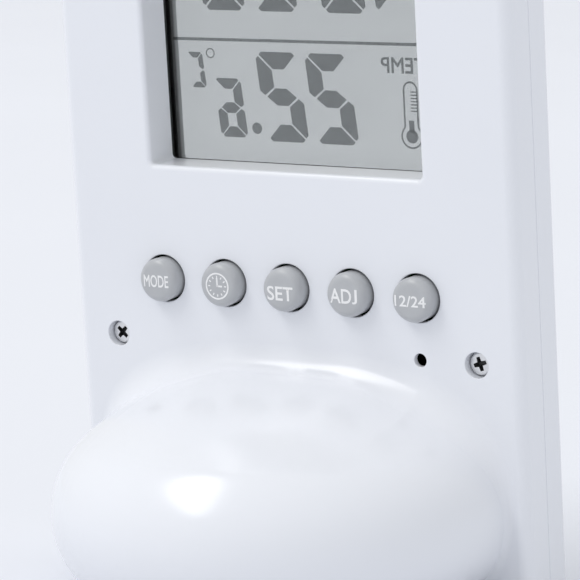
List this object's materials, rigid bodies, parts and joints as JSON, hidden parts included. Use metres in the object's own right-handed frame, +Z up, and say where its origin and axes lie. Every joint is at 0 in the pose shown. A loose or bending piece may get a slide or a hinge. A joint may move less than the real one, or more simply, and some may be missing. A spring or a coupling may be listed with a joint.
{
  "type": "digital desk clock",
  "caption": "Free-standing desk clock: a leaning white slab with a see-through display, a row of round keys on its back and a rounded foot that holds the cells.",
  "frame": {"origin": "on the table under the middle of the clock's box", "axes": "+X to the right as seen from the front, +Y to the back, +Z up"},
  "size_m": [0.084, 0.0558, 0.1361],
  "materials": {
    "case_white": "moulded, high gloss",
    "key_grey": "satin",
    "lens_clear": "clear polished acrylic",
    "display_glass": "polished",
    "polarizer": "grey film",
    "gasket_black": "foam",
    "ribbon_amber": "film",
    "board_green": "solder mask",
    "moulded_black": "moulded",
    "ceramic_tan": "ceramic",
    "steel": "zinc plated",
    "buzzer_brass": "bare",
    "cell_jacket": "printed sleeve without words",
    "lead_red": "insulated wire",
    "lead_black": "insulated wire",
    "pad_rubber": "matte"
  },
  "bodies": {
    "case": {"rear_shell": "case_white", "front_bezel": "case_white", "front_lens": "lens_clear", "lcd_front_glass": "display_glass", "lcd_rear_glass": "display_glass", "lcd_front_polarizer": "polarizer", "lcd_rear_polarizer": "polarizer", "lcd_gasket": "gasket_black", "lcd_ribbon": "ribbon_amber", "main_board": "board_green", "driver_chip": "moulded_black", "thermistor": "moulded_black", "tact_switches": "moulded_black", "board_components": "ceramic_tan", "crystal": "steel", "case_screws": "steel", "board_screws": "steel", "battery_springs": "steel", "contact_positive": "steel", "contact_negative": "steel", "contact_link": "steel", "buzzer": "buzzer_brass", "battery_cells": "cell_jacket", "lead_positive": "lead_red", "lead_negative": "lead_black", "rubber_feet": "pad_rubber"},
    "button_mode": {"button_mode": "key_grey", "plunger_mode": "moulded_black"},
    "button_alarm": {"button_alarm": "key_grey", "plunger_alarm": "moulded_black"},
    "button_set": {"button_set": "key_grey", "plunger_set": "moulded_black"},
    "button_adjust": {"button_adjust": "key_grey", "plunger_adjust": "moulded_black"},
    "button_format": {"button_format": "key_grey", "plunger_format": "moulded_black"},
    "reset": {"reset_plunger": "moulded_black"},
    "door": {"battery_door": "case_white"}
  },
  "joints": [
    {"name": "mode_press", "type": "slide", "parent": "case", "child": "button_mode", "axis": [0, -0.9951, 0.0993], "range_m": [0, 0.0009], "stiffness_N_per_m": 1600},
    {"name": "alarm_press", "type": "slide", "parent": "case", "child": "button_alarm", "axis": [0, -0.9951, 0.0993], "range_m": [0, 0.0009], "stiffness_N_per_m": 1600},
    {"name": "set_press", "type": "slide", "parent": "case", "child": "button_set", "axis": [0, -0.9951, 0.0993], "range_m": [0, 0.0009], "stiffness_N_per_m": 1600},
    {"name": "adjust_press", "type": "slide", "parent": "case", "child": "button_adjust", "axis": [0, -0.9951, 0.0993], "range_m": [0, 0.0009], "stiffness_N_per_m": 1600},
    {"name": "format_press", "type": "slide", "parent": "case", "child": "button_format", "axis": [0, -0.9951, 0.0993], "range_m": [0, 0.0009], "stiffness_N_per_m": 1600},
    {"name": "reset_press", "type": "slide", "parent": "case", "child": "reset", "axis": [0, -0.9951, 0.0993], "range_m": [0, 0.00025], "stiffness_N_per_m": 3000},
    {"name": "door_swing", "type": "hinge", "parent": "case", "child": "door", "pos_m": [0, -0.01498, 0.0019], "axis": [-1, 0, 0], "range_deg": [0, 90]}
  ]
}
